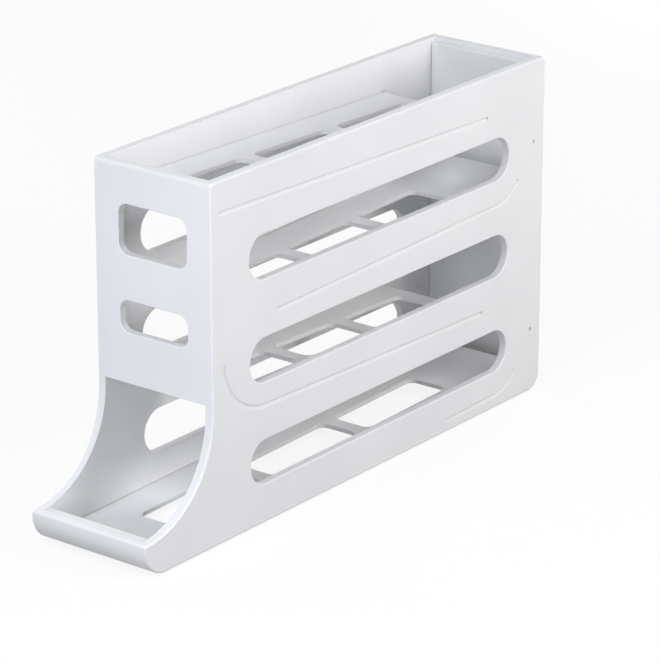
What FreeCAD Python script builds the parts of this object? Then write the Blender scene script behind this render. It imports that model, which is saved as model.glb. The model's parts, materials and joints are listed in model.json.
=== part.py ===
import FreeCAD, Part
import math
import os

# Egg dispenser: a narrow upright box in which its contents roll down four ramps to a catch lip.
# Millimetres, +Z up, front towards -Y, origin under the middle of the whole outline.
# Depths are measured from the front face towards the back, so the catch lip has negative depths.

# Overall size
BODY_LENGTH = 297.0
BODY_WIDTH = 78.6
BODY_HEIGHT = 200.0
LIP_REACH = 55.0
LIP_TOP = 19.5

# Moulded wall of the side, front and back panels, and what is left of it behind grooves and pockets
WALL = 5.0
GROOVE_WEB = 2.0
FIT_GAP = 0.3
EDGE_ROUND = 1.2
OPENING_ROUND = 0.7

# Side view corners: the lip's nose and top edge, the heel, and the two top corners
NOSE_RADIUS = 16.5
LIP_ROUND = 1.6
HEEL_RADIUS = 10.0
CORNER_ROUND = 2.4

# Long round-ended slots in each side panel: how far their ends are from the front and back faces,
# and their middle lines from the foot and the top
SLOT_COUNT = 3
SLOT_FRONT = 31.0
SLOT_REAR_MARGIN = 34.0
SLOT_HEIGHT = 25.0
LOWEST_SLOT_RISE = 35.0
HIGHEST_SLOT_DROP = 50.0

# Front panel and its windows, spread evenly up the panel and then moved up together by the lift
FRONT_GAP_ABOVE_SCOOP = 4.4
WINDOW_WIDTH = 46.0
WINDOW_CORNER = 6.0
LOWER_WINDOW_HEIGHT = 17.7
UPPER_WINDOW_HEIGHT = 27.6
WINDOW_LIFT = 3.2

# Ramps: a sheet with a tongue along each side that runs in grooves of the side panels
RAMP_SHEET = 2.4
RAMP_SLOPE = 1.5
BOTTOM_SLOPE = 1.0
TOP_RAMP_DROP = 17.0
SECOND_RAMP_RISE = 13.0
THIRD_RAMP_RISE = 15.0

# Curled ends that turn the contents round, and the gaps through which they drop
TURN_RADIUS = 28.0
TURN_ANGLE = 58.0
TURN_SETBACK = 9.0
FRONT_TURN_RADIUS = 34.0
FRONT_TURN_ANGLE = 84.0
FRONT_TURN_SETBACK = 2.8
TOP_DROP_GAP = 46.5
SECOND_DROP_GAP = 49.0
THIRD_DROP_GAP = 49.5

# Openings down the middle of each ramp, which leave a rail along either side
RAIL_OPENING_WIDTH = 26.0
RAIL_OPENING_CORNER = 5.0
CROSS_BAR = 9.0
TOP_FRONT_BAR = 18.0
RAIL_OPENING_COUNT = 3

# Ledges inside the side panels for the top ramp, and traces of all four ramps on the outer faces,
# which follow the rear curls only part of the way round
LEDGE_WIDTH = 5.0
LEDGE_SHEET = 1.6
TRACE_DEPTH = 0.6
TRACE_STEEP = 0.8
TRACE_FADE = 2.0
TRACE_TURN_ANGLE = 48.0
BOTTOM_TRACE_START = 205.0

# Front lip and the end of the bottom ramp behind it
LIP_WALL = 2.0
LIP_RIM = 5.0
LIP_SHELF_DROP = 4.8
LIP_FOOT = 18.0
LIP_STRIP = 5.0
LIP_STEP = 0.6
RAMP_END_RADIUS = 8.0
LIFT_OFF_FOOT = 0.1
GROOVE_FRONT_MARGIN = 12.0

# Rear guide wall with its ledge, and the pins that hold it a little above the middle lines of the lowest
# and highest slots
GUIDE_LEDGE = 4.0
GUIDE_WALL = 2.0
GUIDE_DROP = 2.5
GUIDE_LIFT = 4.0
GUIDE_ROUND = 1.5
PIN_SETBACK = 5.4
PIN_RADIUS = 1.0
PIN_BITE = 4.0
PIN_RECESS = 0.8
LOWER_PIN_RISE = 3.5
UPPER_PIN_RISE = 1.8
BOSS_WALL = 1.2

# Snap tabs that hold the front, back and lip between the side panels
TAB_COUNT = 3
TAB_MARGIN = 5.0
TAB_HEIGHT = 12.0
TAB_SHEET = 2.4

# Points closer than this count as one, and an edge with more than this share of a direction runs along it
SAME_PLACE = 1e-6
AXIS_SHARE = 0.5

# Worked-out places
FRONT_Y = (LIP_REACH - BODY_LENGTH) / 2
OUTER_X = BODY_WIDTH / 2
INNER_X = OUTER_X - WALL
GROOVE_X = OUTER_X - GROOVE_WEB
TONGUE_X = GROOVE_X - FIT_GAP
DECK_X = INNER_X - FIT_GAP
SCOOP_Z = LIP_TOP + LIP_REACH
FRONT_PANEL_BOTTOM = SCOOP_Z + FRONT_GAP_ABOVE_SCOOP
NOSE = min(NOSE_RADIUS, LIP_TOP - LIP_WALL - FIT_GAP)
SLOT_BACK = BODY_LENGTH - SLOT_REAR_MARGIN
SLOT_PITCH = (BODY_HEIGHT - HIGHEST_SLOT_DROP - LOWEST_SLOT_RISE) / (SLOT_COUNT - 1)
SLOT_HEIGHTS = [LOWEST_SLOT_RISE + SLOT_PITCH * i for i in range(SLOT_COUNT)]
WINDOW_HEIGHTS = (LOWER_WINDOW_HEIGHT, UPPER_WINDOW_HEIGHT)
WINDOW_SPACE = (BODY_HEIGHT - FRONT_PANEL_BOTTOM - sum(WINDOW_HEIGHTS)) / (len(WINDOW_HEIGHTS) + 1)
GUIDE_FRONT = BODY_LENGTH - WALL - GUIDE_LEDGE
PIN_DEPTH = BODY_LENGTH - WALL - PIN_SETBACK
PIN_END_X = DECK_X - PIN_BITE
PIN_HEIGHTS = (SLOT_HEIGHTS[0] + LOWER_PIN_RISE, SLOT_HEIGHTS[-1] + UPPER_PIN_RISE)
TOP_RAMP_FRONT = WALL + FIT_GAP + RAMP_SHEET / 2
TOP_RAMP_BACK = GUIDE_FRONT - TOP_DROP_GAP
TOP_RAMP_FRONT_Z = BODY_HEIGHT - TOP_RAMP_DROP
SECOND_RAMP_FRONT = WALL + SECOND_DROP_GAP
SECOND_RAMP_FRONT_Z = SLOT_HEIGHTS[1] + SLOT_HEIGHT / 2 + SECOND_RAMP_RISE
THIRD_RAMP_TURN = WALL + FRONT_TURN_SETBACK + RAMP_SHEET / 2 + FRONT_TURN_RADIUS
THIRD_RAMP_BACK = GUIDE_FRONT - THIRD_DROP_GAP
THIRD_RAMP_BACK_Z = SLOT_HEIGHTS[0] + SLOT_HEIGHT / 2 + THIRD_RAMP_RISE
REAR_TURN = GUIDE_FRONT - TURN_SETBACK - TURN_RADIUS
BOTTOM_RAMP_FRONT = LIP_STRIP + LIP_RIM + RAMP_END_RADIUS - RAMP_SHEET / 2 - LIP_REACH
BOTTOM_RAMP_FRONT_Z = LIP_WALL + LIFT_OFF_FOOT + RAMP_SHEET / 2
BOTTOM_GROOVE_START = NOSE + GROOVE_FRONT_MARGIN - LIP_REACH


def place(depth, z, x=0.0):
    """Point in the object's frame from its depth behind the front face."""
    return FreeCAD.Vector(x, FRONT_Y + depth, z)


def line(a, b):
    return Part.LineSegment(place(*a), place(*b)).toShape()


def arc(centre, radius, start, end):
    """Arc in the side view, between two angles in degrees counted from the back direction."""
    angles = [math.radians(a) for a in (start, (start + end) / 2, end)]
    ends = [place(centre[0] + radius * math.cos(a), centre[1] + radius * math.sin(a)) for a in angles]
    return Part.Arc(*ends).toShape()


def closed(edges):
    return Part.Wire(Part.__sortEdges__(edges))


def slab(wire, x_from, x_to):
    """Solid between two places across the width, with a side-view outline."""
    face = Part.Face(wire)
    face.translate(FreeCAD.Vector(x_from, 0, 0))
    return face.extrude(FreeCAD.Vector(x_to - x_from, 0, 0))


def block(x_span, depth_span, z_span):
    size = [span[1] - span[0] for span in (x_span, depth_span, z_span)]
    return Part.makeBox(*size, place(depth_span[0], z_span[0], x_span[0]))


def union(shapes):
    return shapes[0].multiFuse(shapes[1:]).removeSplitter()


def mirrored(shape):
    return shape.mirror(FreeCAD.Vector(0, 0, 0), FreeCAD.Vector(1, 0, 0))


def side_outline():
    """Side view of the dispenser, with an arc at each corner."""
    tip = -LIP_REACH
    nose_depth = tip + NOSE
    heel_depth = BODY_LENGTH - HEEL_RADIUS
    top_depth = BODY_LENGTH - CORNER_ROUND
    top_z = BODY_HEIGHT - CORNER_ROUND
    lip_z = SCOOP_Z - math.sqrt((LIP_REACH + LIP_ROUND) ** 2 - LIP_ROUND ** 2)
    scoop_start = math.degrees(math.atan2(lip_z - SCOOP_Z, LIP_ROUND))
    return closed([
        arc((tip, SCOOP_Z), LIP_REACH, scoop_start, 0),
        line((0, SCOOP_Z), (0, top_z)),
        arc((CORNER_ROUND, top_z), CORNER_ROUND, 90, 180),
        line((CORNER_ROUND, BODY_HEIGHT), (top_depth, BODY_HEIGHT)),
        arc((top_depth, top_z), CORNER_ROUND, 0, 90),
        line((BODY_LENGTH, top_z), (BODY_LENGTH, HEEL_RADIUS)),
        arc((heel_depth, HEEL_RADIUS), HEEL_RADIUS, -90, 0),
        line((heel_depth, 0), (nose_depth, 0)),
        arc((nose_depth, NOSE), NOSE, 180, 270),
        line((tip, NOSE), (tip, lip_z)),
        arc((tip + LIP_ROUND, lip_z), LIP_ROUND, scoop_start + 180, 180),
    ])


def slot_outline(z):
    """Round-ended slot of the side panels."""
    radius = SLOT_HEIGHT / 2
    front = SLOT_FRONT + radius
    back = SLOT_BACK - radius
    return closed([
        arc((front, z), radius, 90, 270),
        line((front, z - radius), (back, z - radius)),
        arc((back, z), radius, -90, 90),
        line((back, z + radius), (front, z + radius)),
    ])


class Path:
    """Side-view line of straight runs and tangent arcs, with lines that run beside it."""

    def __init__(self, depth, z, heading, moves):
        self.start = (depth, z, heading)
        self.moves = moves

    def beside(self, offset):
        """Edges and end points of the line at an offset to the left of this path."""
        depth, z, heading = self.start
        edges = []
        ends = [self.aside(depth, z, heading, offset)]
        for size, turn in self.moves:
            angle = math.radians(heading)
            if turn == 0:
                depth += size * math.cos(angle)
                z += size * math.sin(angle)
                ends.append(self.aside(depth, z, heading, offset))
                edges.append(line(ends[-2], ends[-1]))
                continue
            side = math.copysign(1, turn)
            centre = (depth - side * size * math.sin(angle), z + side * size * math.cos(angle))
            radius = size - side * offset
            first = heading - 90 * side
            heading += turn
            depth = centre[0] + size * math.cos(math.radians(first + turn))
            z = centre[1] + size * math.sin(math.radians(first + turn))
            ends.append(self.aside(depth, z, heading, offset))
            edges.append(arc(centre, radius, first, first + turn))
        return edges, ends[0], ends[-1]

    @staticmethod
    def aside(depth, z, heading, offset):
        angle = math.radians(heading)
        return depth - offset * math.sin(angle), z + offset * math.cos(angle)

    def band(self, low, high):
        """Outline of the strip between two offsets."""
        low_edges, low_start, low_end = self.beside(low)
        high_edges, high_start, high_end = self.beside(high)
        caps = [line(low_start, high_start), line(low_end, high_end)]
        return closed(low_edges + high_edges + caps)


def run_length(depth_from, depth_to, slope):
    return abs(depth_to - depth_from) / math.cos(math.radians(slope))


def height_after(z, depth_from, depth_to, slope):
    """Height reached on a ramp that rises by a slope from one depth to another."""
    return z + (depth_to - depth_from) * math.tan(math.radians(slope))


def top_path():
    length = run_length(TOP_RAMP_FRONT, TOP_RAMP_BACK, RAMP_SLOPE)
    return Path(TOP_RAMP_FRONT, TOP_RAMP_FRONT_Z, -RAMP_SLOPE, [(length, 0)])


def second_path(turn=TURN_ANGLE):
    length = run_length(SECOND_RAMP_FRONT, REAR_TURN, RAMP_SLOPE)
    moves = [(length, 0), (TURN_RADIUS, turn)]
    return Path(SECOND_RAMP_FRONT, SECOND_RAMP_FRONT_Z, RAMP_SLOPE, moves)


def third_path():
    length = run_length(THIRD_RAMP_TURN, THIRD_RAMP_BACK, RAMP_SLOPE)
    moves = [(length, 0), (FRONT_TURN_RADIUS, -FRONT_TURN_ANGLE)]
    return Path(THIRD_RAMP_BACK, THIRD_RAMP_BACK_Z, 180 - RAMP_SLOPE, moves)


def bottom_path(start, turn=TURN_ANGLE):
    """Bottom ramp from a depth near its front end to the top of its rear curl."""
    z = height_after(BOTTOM_RAMP_FRONT_Z, BOTTOM_RAMP_FRONT, start, BOTTOM_SLOPE)
    length = run_length(start, REAR_TURN, BOTTOM_SLOPE)
    return Path(start, z, BOTTOM_SLOPE, [(length, 0), (TURN_RADIUS, turn)])


def trace(path, inner_side):
    """Cutter of a trace in the right panel's outer face, steep inside the curl and fading out outside it.

    It stands as far out of the face as it goes in, so it is twice as wide at its open side.
    """
    edges, _, _ = path.beside(0)
    spine = closed(edges)
    spine.translate(FreeCAD.Vector(OUTER_X, 0, 0))
    above = OUTER_X + TRACE_DEPTH
    corners = [(0, OUTER_X - TRACE_DEPTH), (2 * inner_side * TRACE_STEEP, above),
               (-2 * inner_side * TRACE_FADE, above)]
    points = [place(*path.aside(*path.start, offset), x) for offset, x in corners]
    section = Part.makePolygon(points + points[:1])
    return spine.makePipeShell([section], True, True)


def ramp_grooves():
    """Cutters of the grooves in the right panel's inner face, which hold the ramps' tongues."""
    half = RAMP_SHEET / 2
    paths = (second_path(), third_path(), bottom_path(BOTTOM_GROOVE_START))
    return [slab(path.band(-half, half + FIT_GAP), INNER_X - WALL, GROOVE_X) for path in paths]


def top_ledge():
    """Ledge that the top ramp lies on, with a stop behind the ramp's rear end."""
    half = RAMP_SHEET / 2
    end_x = INNER_X - LEDGE_WIDTH
    ledge = slab(top_path().band(-half - LEDGE_SHEET, -half), end_x, INNER_X)
    back_z = height_after(TOP_RAMP_FRONT_Z, TOP_RAMP_FRONT, TOP_RAMP_BACK, -RAMP_SLOPE)
    stop_start = TOP_RAMP_BACK + FIT_GAP
    stop = block((end_x, INNER_X), (stop_start, stop_start + LEDGE_SHEET),
                 (back_z - half - LEDGE_SHEET, back_z + half))
    return [ledge, stop]


def edges_along(shape, wire, x):
    """Edges of a shape that lie on a side-view outline moved to a place across the width."""
    found = []
    for target in wire.Edges:
        middle = target.valueAt((target.FirstParameter + target.LastParameter) / 2)
        middle.x = x
        found += [e for e in shape.Edges if e.distToShape(Part.Vertex(middle))[0] < SAME_PLACE]
    return found


def right_side_panel():
    outline = side_outline()
    panel = slab(outline, INNER_X, OUTER_X)
    panel = panel.makeFillet(EDGE_ROUND, edges_along(panel, outline, OUTER_X))
    for z in SLOT_HEIGHTS:
        slot = slot_outline(z)
        panel = panel.cut(slab(slot, INNER_X, OUTER_X))
        both_faces = edges_along(panel, slot, INNER_X) + edges_along(panel, slot, OUTER_X)
        panel = panel.makeFillet(OPENING_ROUND, both_faces)
    rear_curls = (second_path(TRACE_TURN_ANGLE), bottom_path(BOTTOM_TRACE_START, TRACE_TURN_ANGLE))
    traces = [trace(path, 1) for path in (top_path(), *rear_curls)]
    traces.append(trace(third_path(), -1))
    pockets = front_tabs(GROOVE_X) + back_tabs(GROOVE_X) + [lip_tab(GROOVE_X)]
    panel = panel.cut(traces + ramp_grooves() + pockets + pin_holes())
    return union([panel] + top_ledge())


def crosswise_rod(radius, x_from, x_to, z):
    """Rod across the width at the depth of the rear pins."""
    return Part.makeCylinder(radius, x_to - x_from, place(PIN_DEPTH, z, x_from), FreeCAD.Vector(1, 0, 0))


def pin_holes():
    """Cutters of the rear pins' holes through the right panel."""
    return [crosswise_rod(PIN_RADIUS, INNER_X, OUTER_X, z) for z in PIN_HEIGHTS]


def rear_snap_pins():
    """Four short pins pressed through the side panels into the rear guide."""
    right = [crosswise_rod(PIN_RADIUS, PIN_END_X, OUTER_X - PIN_RECESS, z) for z in PIN_HEIGHTS]
    return Part.makeCompound(right + [mirrored(pin) for pin in right])


def tabs(depth, z_low, z_high, end_x):
    """Snap tabs up a panel's right edge, or the pockets for them, out to a place across the width."""
    depth_span = (depth - TAB_SHEET / 2, depth + TAB_SHEET / 2)
    first = z_low + TAB_MARGIN
    pitch = (z_high - TAB_MARGIN - TAB_HEIGHT - first) / (TAB_COUNT - 1)
    heights = [first + pitch * i for i in range(TAB_COUNT)]
    return [block((INNER_X, end_x), depth_span, (z, z + TAB_HEIGHT)) for z in heights]


def front_tabs(end_x):
    return tabs(WALL / 2, FRONT_PANEL_BOTTOM, BODY_HEIGHT, end_x)


def back_tabs(end_x):
    return tabs(BODY_LENGTH - WALL / 2, HEEL_RADIUS, BODY_HEIGHT, end_x)


def tabbed_plate(depth_span, outer_depth, z_low, right_tabs):
    """Plate between the side panels, with tabs on both edges and its outer top edge rounded as theirs."""
    plate = block((-INNER_X, INNER_X), depth_span, (z_low, BODY_HEIGHT))
    plate = plate.makeFillet(CORNER_ROUND, edges_within(plate, outer_depth, BODY_HEIGHT, BODY_HEIGHT))
    return union([plate] + right_tabs + [mirrored(tab) for tab in right_tabs])


def window(z_low, z_high):
    """Cutter of a front panel window with rounded corners."""
    half = WINDOW_WIDTH / 2
    solid = block((-half, half), (0, WALL), (z_low, z_high))
    along = [e for e in solid.Edges if abs(e.tangentAt(e.FirstParameter).y) > AXIS_SHARE]
    return solid.makeFillet(WINDOW_CORNER, along)


def edges_within(shape, depth, z_low, z_high):
    """Edges of a shape that lie in one upright plane across the width, between two heights."""
    y = FRONT_Y + depth
    boxes = [(e, e.BoundBox) for e in shape.Edges]
    level = [(e, b) for e, b in boxes if abs(b.YMin - y) < SAME_PLACE and abs(b.YMax - y) < SAME_PLACE]
    return [e for e, b in level if b.ZMin > z_low - SAME_PLACE and b.ZMax < z_high + SAME_PLACE]


def front_panel():
    panel = tabbed_plate((0, WALL), 0, FRONT_PANEL_BOTTOM, front_tabs(TONGUE_X))
    low = FRONT_PANEL_BOTTOM + WINDOW_LIFT
    for height in WINDOW_HEIGHTS:
        low += WINDOW_SPACE
        panel = panel.cut(window(low, low + height))
        both_faces = edges_within(panel, 0, low, low + height) + edges_within(panel, WALL, low, low + height)
        panel = panel.makeFillet(OPENING_ROUND, both_faces)
        low += height
    return panel


def back_panel():
    depth_span = (BODY_LENGTH - WALL, BODY_LENGTH)
    return tabbed_plate(depth_span, BODY_LENGTH, HEEL_RADIUS, back_tabs(TONGUE_X))


def rear_guide():
    """Inner rear wall with a rounded ledge at its top and a boss for each pin."""
    top = BODY_HEIGHT - GUIDE_DROP
    wall = block((-DECK_X, DECK_X), (GUIDE_FRONT, GUIDE_FRONT + GUIDE_WALL),
                 (HEEL_RADIUS + GUIDE_LIFT, top))
    ledge = block((-DECK_X, DECK_X), (GUIDE_FRONT, BODY_LENGTH - WALL), (top - GUIDE_WALL, top))
    guide = union([wall, ledge])
    guide = guide.makeFillet(GUIDE_ROUND, edges_within(guide, GUIDE_FRONT, top, top))
    bosses = [crosswise_rod(PIN_RADIUS + BOSS_WALL, PIN_END_X - GUIDE_WALL, DECK_X, z) for z in PIN_HEIGHTS]
    bosses += [mirrored(boss) for boss in bosses]
    return union([guide] + bosses).cut(rear_snap_pins())


def with_rails(sheet, depth_from, depth_to):
    """Ramp sheet with openings down its middle, and cross bars left between its two rails."""
    pitch = (depth_to - depth_from + CROSS_BAR) / RAIL_OPENING_COUNT
    half = RAIL_OPENING_WIDTH / 2
    z_span = (sheet.BoundBox.ZMin, sheet.BoundBox.ZMax)
    cutters = []
    for i in range(RAIL_OPENING_COUNT):
        start = depth_from + pitch * i
        solid = block((-half, half), (start, start + pitch - CROSS_BAR), z_span)
        upright = [e for e in solid.Edges if abs(e.tangentAt(e.FirstParameter).z) > AXIS_SHARE]
        cutters.append(solid.makeFillet(RAIL_OPENING_CORNER, upright))
    return sheet.cut(cutters)


def tongued_sheet(path):
    """Ramp sheet as wide as the grooves that hold it."""
    return slab(path.band(-RAMP_SHEET / 2, RAMP_SHEET / 2), -TONGUE_X, TONGUE_X)


def second_ramp():
    return with_rails(tongued_sheet(second_path()), SECOND_RAMP_FRONT + CROSS_BAR, REAR_TURN - CROSS_BAR)


def third_ramp():
    return with_rails(tongued_sheet(third_path()), THIRD_RAMP_TURN + CROSS_BAR, THIRD_RAMP_BACK - CROSS_BAR)


def top_ramp():
    """Loose ramp under the open top, with an upright front end behind the front panel."""
    half = RAMP_SHEET / 2
    sheet = slab(top_path().band(-half, half), -DECK_X, DECK_X)
    upright = block((-DECK_X, DECK_X), (TOP_RAMP_FRONT - half, TOP_RAMP_FRONT + half),
                    (TOP_RAMP_FRONT_Z - half, BODY_HEIGHT - GUIDE_DROP))
    return with_rails(union([sheet, upright]), TOP_RAMP_FRONT + TOP_FRONT_BAR, TOP_RAMP_BACK - CROSS_BAR)


def bottom_ramp():
    """Lowest ramp, with a front end that curls up to a strip behind the lip."""
    half = RAMP_SHEET / 2
    deck = slab(bottom_path(BOTTOM_RAMP_FRONT).band(-half, half), -DECK_X, DECK_X)
    tongues = tongued_sheet(bottom_path(BOTTOM_GROOVE_START))
    curl = Path(BOTTOM_RAMP_FRONT, BOTTOM_RAMP_FRONT_Z, 180 + BOTTOM_SLOPE,
                [(RAMP_END_RADIUS, -90 - BOTTOM_SLOPE)])
    ramp_end = slab(curl.band(-half, half), -DECK_X, DECK_X)
    end_depth, end_z = curl.beside(0)[2]
    strip_top = LIP_TOP - LIP_STEP
    upright = block((-DECK_X, DECK_X), (end_depth - half, end_depth + half), (end_z, strip_top))
    strip = block((-DECK_X, DECK_X), (LIP_RIM - LIP_REACH, end_depth + half),
                  (strip_top - RAMP_SHEET, strip_top))
    return with_rails(union([deck, tongues, ramp_end, upright, strip]), 0, REAR_TURN - CROSS_BAR)


def lip_shelf(z):
    """Depth of the lip's inner face at a height in its nose, and the depth where its shelf ends."""
    inner = NOSE - math.sqrt((NOSE - LIP_WALL) ** 2 - (NOSE - z) ** 2) - LIP_REACH
    return inner, LIP_RIM + TAB_SHEET / 2 - LIP_REACH


def lip_tab(end_x):
    """Snap tab on the right end of the lip's shelf, or the pocket for it."""
    low = NOSE - LIP_SHELF_DROP
    front, back = lip_shelf(low)
    return block((INNER_X, end_x), (front + FIT_GAP, back), (low, low + TAB_SHEET))


def front_lip():
    """Rounded nose between the side panels, with a turned-in top rim, a foot and a shelf with tabs."""
    tip = -LIP_REACH
    nose_depth = tip + NOSE
    foot_end = nose_depth + LIP_FOOT
    rim_end = tip + LIP_RIM
    rim_under = LIP_TOP - LIP_WALL
    round_z = LIP_TOP - LIP_ROUND
    shell = closed([
        arc((tip + LIP_ROUND, round_z), LIP_ROUND, 90, 180),
        line((tip, round_z), (tip, NOSE)),
        arc((nose_depth, NOSE), NOSE, 180, 270),
        line((nose_depth, 0), (foot_end, 0)),
        line((foot_end, 0), (foot_end, LIP_WALL)),
        line((foot_end, LIP_WALL), (nose_depth, LIP_WALL)),
        arc((nose_depth, NOSE), NOSE - LIP_WALL, 180, 270),
        line((tip + LIP_WALL, NOSE), (tip + LIP_WALL, rim_under)),
        line((tip + LIP_WALL, rim_under), (rim_end, rim_under)),
        line((rim_end, rim_under), (rim_end, LIP_TOP)),
        line((rim_end, LIP_TOP), (tip + LIP_ROUND, LIP_TOP)),
    ])
    low = NOSE - LIP_SHELF_DROP
    front, back = lip_shelf(low)
    shelf = block((-INNER_X, INNER_X), (front - LIP_WALL / 2, back), (low, low + TAB_SHEET))
    right_tab = lip_tab(TONGUE_X)
    return union([slab(shell, -INNER_X, INNER_X), shelf, right_tab, mirrored(right_tab)])


def main():
    right = right_side_panel()
    nodes = {
        "right_side_panel": right,
        "left_side_panel": mirrored(right),
        "front_panel": front_panel(),
        "back_panel": back_panel(),
        "rear_guide": rear_guide(),
        "rear_snap_pins": rear_snap_pins(),
        "top_ramp": top_ramp(),
        "second_ramp": second_ramp(),
        "third_ramp": third_ramp(),
        "bottom_ramp": bottom_ramp(),
        "front_lip": front_lip(),
    }
    os.makedirs("parts", exist_ok=True)
    for name, shape in nodes.items():
        shape.exportStep("parts/" + name + ".step")
        print(name, "solids", len(shape.Solids), "volume", round(shape.Volume), "valid", shape.isValid())


main()
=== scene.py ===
import json
import math

import bpy
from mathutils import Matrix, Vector

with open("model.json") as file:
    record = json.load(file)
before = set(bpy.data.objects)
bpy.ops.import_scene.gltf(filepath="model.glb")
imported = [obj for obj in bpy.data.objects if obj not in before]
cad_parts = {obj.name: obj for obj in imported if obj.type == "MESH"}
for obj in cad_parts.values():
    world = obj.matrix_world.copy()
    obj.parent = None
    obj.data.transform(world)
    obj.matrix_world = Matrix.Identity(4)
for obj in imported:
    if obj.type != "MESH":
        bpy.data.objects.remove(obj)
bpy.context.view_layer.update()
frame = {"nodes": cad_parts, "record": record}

# Camera: place in metres, how far round from the front and how far up it looks from, and lens
CAMERA_PLACE = (1.16272, -1.46604, 0.772)
CAMERA_AZIMUTH = math.radians(37.89)
CAMERA_ELEVATION = math.radians(20.39)
LENS_MM = 198.08
SENSOR_MM = 36.0

# Plastic colours: panels and ramps are moulded from slightly different white batches, and the pins' darker
# white is painted shade for their recesses
PANEL_WHITE = (0.865, 0.868, 0.872)
RAMP_WHITE = (0.850, 0.852, 0.850)
# Painted shade: pins a little darker than the panels, so their recessed ends show as dark dots
PIN_WHITE = (0.820, 0.820, 0.815)
CLOUD_DARKENING = 0.965
EDGE_LIGHTENING = 1.03
# Painted shade: share of the colour left at the bottom of creases and grooves, darkened by ambient occlusion
CREASE_SHADE_DARKENING = 0.3

# Patterns in the plastic: sizes and height in metres, and how finely each one is broken up
CLOUD_SIZE = 0.060
CLOUD_DETAIL = 2.0
FLOW_LENGTH = 0.120
FLOW_WIDTH = 0.010
FLOW_DETAIL = 3.0
GRAIN_SIZE = 0.0007
GRAIN_DETAIL = 2.0
GRAIN_HEIGHT = 0.000012

# Noise values that are spread over 0 to 1 in each pattern
NOISE_LOW = 0.35
NOISE_HIGH = 0.65

# Gloss: roughness of the glossiest and the dullest flow marks, and how much smoother rubbed edges are
GLOSSY_ROUGHNESS = 0.36
DULL_ROUGHNESS = 0.46
EDGE_POLISH = 0.08

# Edges and creases: reach in metres, samples, and cosines of the turn where wear starts and is full
EDGE_RADIUS = 0.00025
EDGE_SAMPLES = 6
WEAR_START = 0.995
WEAR_FULL = 0.90
CREASE_REACH = 0.002
CREASE_SAMPLES = 8

# Sockets of the Mix node that carry colours
MIX_A = 6
MIX_B = 7
MIX_RESULT = 2

# Floor: pale to look at, with a share of plain white, and greyer in the light that it sends back
FLOOR_SIZE = 8.0
FLOOR_DROP = 0.0002
FLOOR_PALE = (0.93, 0.93, 0.93)
FLOOR_BOUNCE = (0.27, 0.27, 0.27)
FLOOR_WHITENING = 0.87

# White of the floor and the surroundings: its strength where it is seen, and that of the surroundings' light
PLAIN_WHITE = (1.0, 1.0, 1.0)
SEEN_STRENGTH = 1.0
WORLD_STRENGTH = 0.20

# Soft lamps: the point that they face, then each one's name, place, size in metres, watts and colour
LAMP_TARGET = (0.0, 0.02, 0.11)
NEUTRAL = (1.0, 0.988, 0.998)
COOL = (0.895, 0.925, 1.0)
LAMPS = (
    ("right_softbox", (0.78, 0.22, 0.43), 0.4, 4.7, NEUTRAL),
    ("high_front_softbox", (0.05, -0.70, 0.90), 0.5, 5.0, COOL),
    ("low_front_softbox", (0.20, -0.62, 0.18), 0.3, 1.35, COOL),
    ("left_softbox", (-1.25, 0.05, 0.30), 0.6, 7.1, NEUTRAL),
    ("rear_softbox", (-0.20, 1.30, 0.30), 0.6, 6.2, NEUTRAL),
)


def shader_node(tree, kind, inputs=(), **settings):
    """New shader node with its settings, and with a value or a link on each named input."""
    made = tree.nodes.new("ShaderNode" + kind)
    for name, value in settings.items():
        setattr(made, name, value)
    for name, value in dict(inputs).items():
        if isinstance(value, bpy.types.NodeSocket):
            tree.links.new(value, made.inputs[name])
        else:
            made.inputs[name].default_value = value
    return made


def new_material(name):
    """Empty node material, its node tree and its output node."""
    material = bpy.data.materials.new(name)
    material.use_nodes = True
    material.node_tree.nodes.clear()
    output = material.node_tree.nodes.new("ShaderNodeOutputMaterial")
    return material, material.node_tree, output


def opaque(colour):
    """Colour with full opacity, as colour sockets take it."""
    return colour + (1.0,)


def scaled(colour, factor):
    """Opaque colour that is lighter or darker by the factor."""
    return opaque(tuple(min(1.0, part * factor) for part in colour))


def mixed_colour(tree, share, first, second):
    """Colour between two others, with the given share of the second."""
    made = shader_node(tree, "Mix", {"Factor": share, MIX_A: first, MIX_B: second}, data_type="RGBA")
    return made.outputs[MIX_RESULT]


def noise(tree, place, size, detail):
    """Noise pattern with features of about the given size in metres, spread over 0 to 1."""
    pattern = shader_node(tree, "TexNoise", {"Vector": place, "Scale": 1 / size, "Detail": detail})
    spread = shader_node(tree, "MapRange", {"Value": pattern.outputs["Fac"], "From Min": NOISE_LOW,
                                            "From Max": NOISE_HIGH})
    return spread.outputs["Result"]


def edge_mask(tree, rounded):
    """1 on the rounded edges of a piece and 0 on its flat faces."""
    flat = shader_node(tree, "NewGeometry").outputs["Normal"]
    turned = shader_node(tree, "VectorMath", {0: rounded, 1: flat}, operation="DOT_PRODUCT")
    mask = shader_node(tree, "MapRange", {"Value": turned.outputs["Value"], "From Min": WEAR_START,
                                          "From Max": WEAR_FULL})
    return mask.outputs["Result"]


def plastic_colour(tree, place, worn, colour):
    """Colour with faint clouds, lighter on rubbed edges, and darker in creases as painted shade from ambient
    occlusion.
    """
    clouds = noise(tree, place, CLOUD_SIZE, CLOUD_DETAIL)
    cloudy = mixed_colour(tree, clouds, opaque(colour), scaled(colour, CLOUD_DARKENING))
    rubbed = mixed_colour(tree, worn, cloudy, scaled(colour, EDGE_LIGHTENING))
    # Painted shade: ambient occlusion darkens the colour in creases and grooves
    openness = shader_node(tree, "AmbientOcclusion", {"Distance": CREASE_REACH}, samples=CREASE_SAMPLES,
                           only_local=True).outputs["AO"]
    return mixed_colour(tree, openness, scaled(colour, CREASE_SHADE_DARKENING), rubbed)


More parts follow.
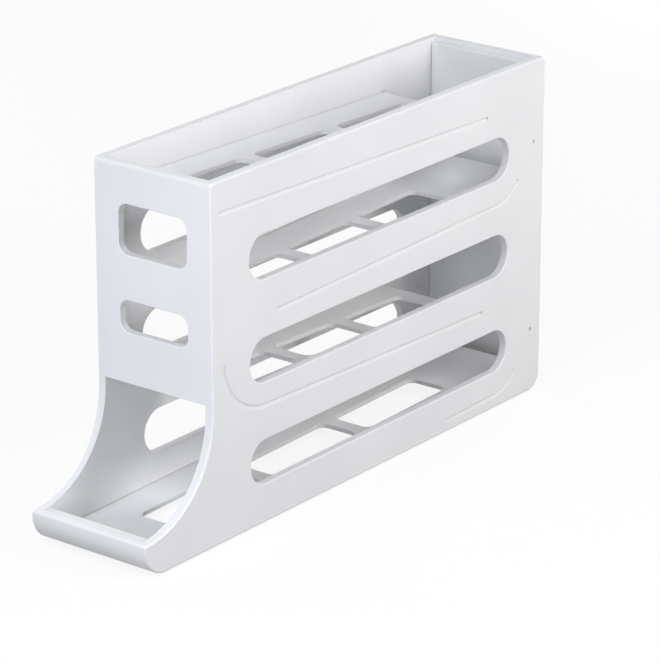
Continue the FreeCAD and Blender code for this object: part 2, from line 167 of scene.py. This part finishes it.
def plastic_roughness(tree, place, worn):
    """Roughness with flow marks along the piece, a little lower on rubbed edges."""
    stretch = (1.0, FLOW_WIDTH / FLOW_LENGTH, 1.0)
    along_flow = shader_node(tree, "Mapping", {"Vector": place, "Scale": stretch}).outputs["Vector"]
    marks = noise(tree, along_flow, FLOW_WIDTH, FLOW_DETAIL)
    gloss = shader_node(tree, "MapRange", {"Value": marks, "To Min": GLOSSY_ROUGHNESS,
                                           "To Max": DULL_ROUGHNESS})
    polished = shader_node(tree, "Math", {0: worn, 1: -EDGE_POLISH, 2: gloss.outputs["Result"]},
                           operation="MULTIPLY_ADD")
    return polished.outputs["Value"]


def moulded_plastic(name, colour):
    """Satin white plastic with faint clouds, flow marks, fine grain, rubbed edges and painted shade in
    creases.
    """
    material, tree, output = new_material(name)
    place = shader_node(tree, "TexCoord").outputs["Object"]
    rounded = shader_node(tree, "Bevel", {"Radius": EDGE_RADIUS}, samples=EDGE_SAMPLES).outputs["Normal"]
    worn = edge_mask(tree, rounded)
    grain = noise(tree, place, GRAIN_SIZE, GRAIN_DETAIL)
    relief = shader_node(tree, "Bump", {"Height": grain, "Distance": GRAIN_HEIGHT, "Normal": rounded})
    plastic = shader_node(tree, "BsdfPrincipled", {"Base Color": plastic_colour(tree, place, worn, colour),
                                                   "Roughness": plastic_roughness(tree, place, worn),
                                                   "Normal": relief.outputs["Normal"]})
    tree.links.new(plastic.outputs["BSDF"], output.inputs["Surface"])
    return material


def dress_nodes():
    """Gives each CAD node the plastic of its record slot."""
    plastics = {
        "panel_plastic": moulded_plastic("panel_plastic_look", PANEL_WHITE),
        "ramp_plastic": moulded_plastic("ramp_plastic_look", RAMP_WHITE),
        "pin_plastic": moulded_plastic("pin_plastic_look", PIN_WHITE),
    }
    for part in frame["record"]["subparts"]:
        piece = frame["nodes"][part["node"]]
        piece.data.materials.clear()
        piece.data.materials.append(plastics[part["material_slot"]])


def white_to_view(tree):
    """1 for what the camera sees directly, in a reflection or through glass, and 0 for other light."""
    path = shader_node(tree, "LightPath").outputs
    seen = path["Is Camera Ray"]
    for ray in ("Is Glossy Ray", "Is Transmission Ray"):
        seen = shader_node(tree, "Math", {0: seen, 1: path[ray]}, operation="MAXIMUM").outputs["Value"]
    return seen


def floor_material():
    """Pale matte floor that looks nearly white and still takes the object's shadow."""
    material, tree, output = new_material("pale_floor")
    pale = shader_node(tree, "BsdfDiffuse", {"Color": opaque(FLOOR_PALE)})
    white = shader_node(tree, "Emission", {"Color": opaque(PLAIN_WHITE), "Strength": SEEN_STRENGTH})
    seen = shader_node(tree, "MixShader", {0: FLOOR_WHITENING, 1: pale.outputs["BSDF"],
                                           2: white.outputs["Emission"]})
    bounce = shader_node(tree, "BsdfDiffuse", {"Color": opaque(FLOOR_BOUNCE)})
    mixed = shader_node(tree, "MixShader", {0: white_to_view(tree), 1: bounce.outputs["BSDF"],
                                            2: seen.outputs["Shader"]})
    tree.links.new(mixed.outputs["Shader"], output.inputs["Surface"])
    return material


def add_floor():
    """Flat floor just under the object."""
    half = FLOOR_SIZE / 2
    corners = [(-half, -half, -FLOOR_DROP), (half, -half, -FLOOR_DROP),
               (half, half, -FLOOR_DROP), (-half, half, -FLOOR_DROP)]
    mesh = bpy.data.meshes.new("floor")
    mesh.from_pydata(corners, [], [(0, 1, 2, 3)])
    mesh.materials.append(floor_material())
    floor = bpy.data.objects.new("floor", mesh)
    bpy.context.scene.collection.objects.link(floor)


def add_world():
    """Even white surroundings, at full white only where they are seen."""
    world = bpy.data.worlds.new("studio")
    world.use_nodes = True
    tree = world.node_tree
    tree.nodes.clear()
    strength = shader_node(tree, "MapRange", {"Value": white_to_view(tree), "To Min": WORLD_STRENGTH,
                                              "To Max": SEEN_STRENGTH})
    background = shader_node(tree, "Background", {"Color": opaque(PLAIN_WHITE),
                                                  "Strength": strength.outputs["Result"]})
    output = tree.nodes.new("ShaderNodeOutputWorld")
    tree.links.new(background.outputs["Background"], output.inputs["Surface"])
    bpy.context.scene.world = world


def facing(direction):
    """Rotation that makes a lamp or a camera look along the direction, with its top up."""
    return direction.to_track_quat("-Z", "Y").to_euler()


def add_lamps():
    """Square soft lamps that all face the middle of the object."""
    for name, place, size, power, colour in LAMPS:
        data = bpy.data.lights.new(name, "AREA")
        data.shape = "SQUARE"
        data.size = size
        data.energy = power
        data.color = colour
        lamp = bpy.data.objects.new(name, data)
        lamp.location = place
        lamp.rotation_euler = facing(Vector(LAMP_TARGET) - Vector(place))
        bpy.context.scene.collection.objects.link(lamp)


def add_camera():
    """Camera with the photo's place, direction and lens."""
    data = bpy.data.cameras.new("photo_camera")
    data.lens = LENS_MM
    data.sensor_width = SENSOR_MM
    camera = bpy.data.objects.new("photo_camera", data)
    level = math.cos(CAMERA_ELEVATION)
    back = Vector((math.sin(CAMERA_AZIMUTH) * level, -math.cos(CAMERA_AZIMUTH) * level,
                   math.sin(CAMERA_ELEVATION)))
    camera.location = CAMERA_PLACE
    camera.rotation_euler = facing(-back)
    bpy.context.scene.collection.objects.link(camera)
    bpy.context.scene.camera = camera


dress_nodes()
add_floor()
add_world()
add_lamps()
add_camera()
bpy.context.scene.view_settings.view_transform = "Standard"
